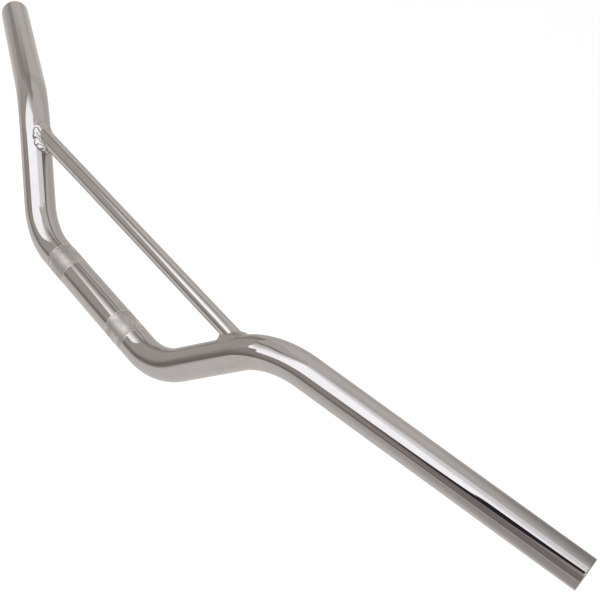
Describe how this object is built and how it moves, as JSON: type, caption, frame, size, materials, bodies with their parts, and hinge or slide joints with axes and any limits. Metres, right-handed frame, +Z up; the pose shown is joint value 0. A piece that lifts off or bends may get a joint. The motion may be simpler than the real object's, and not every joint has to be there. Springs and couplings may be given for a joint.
{
  "type": "bmx handlebar",
  "caption": "Low-rise chrome BMX handlebar: a bent hollow tube with swept-back grips, a thin crossbar welded between its risers and matte bands on the clamp section.",
  "frame": {"origin": "middle of the straight clamp section, on its axis", "axes": "+X along the clamp section towards the rider's left, +Y back towards the rider, +Z up in the plane of the risers and the crossbar"},
  "size_m": [0.7376, 0.1188, 0.0915],
  "materials": {
    "chrome_tube": "bright chrome plating, with a blasted matte band at each side of the clamp section",
    "chrome_crossbar": "bright chrome plating",
    "weld_bead": "rippled weld under thin, uneven chrome plating"
  },
  "bodies": {
    "root": {"main_tube": "chrome_tube", "crossbar": "chrome_crossbar", "weld_left": "weld_bead", "weld_right": "weld_bead"}
  },
  "joints": []
}
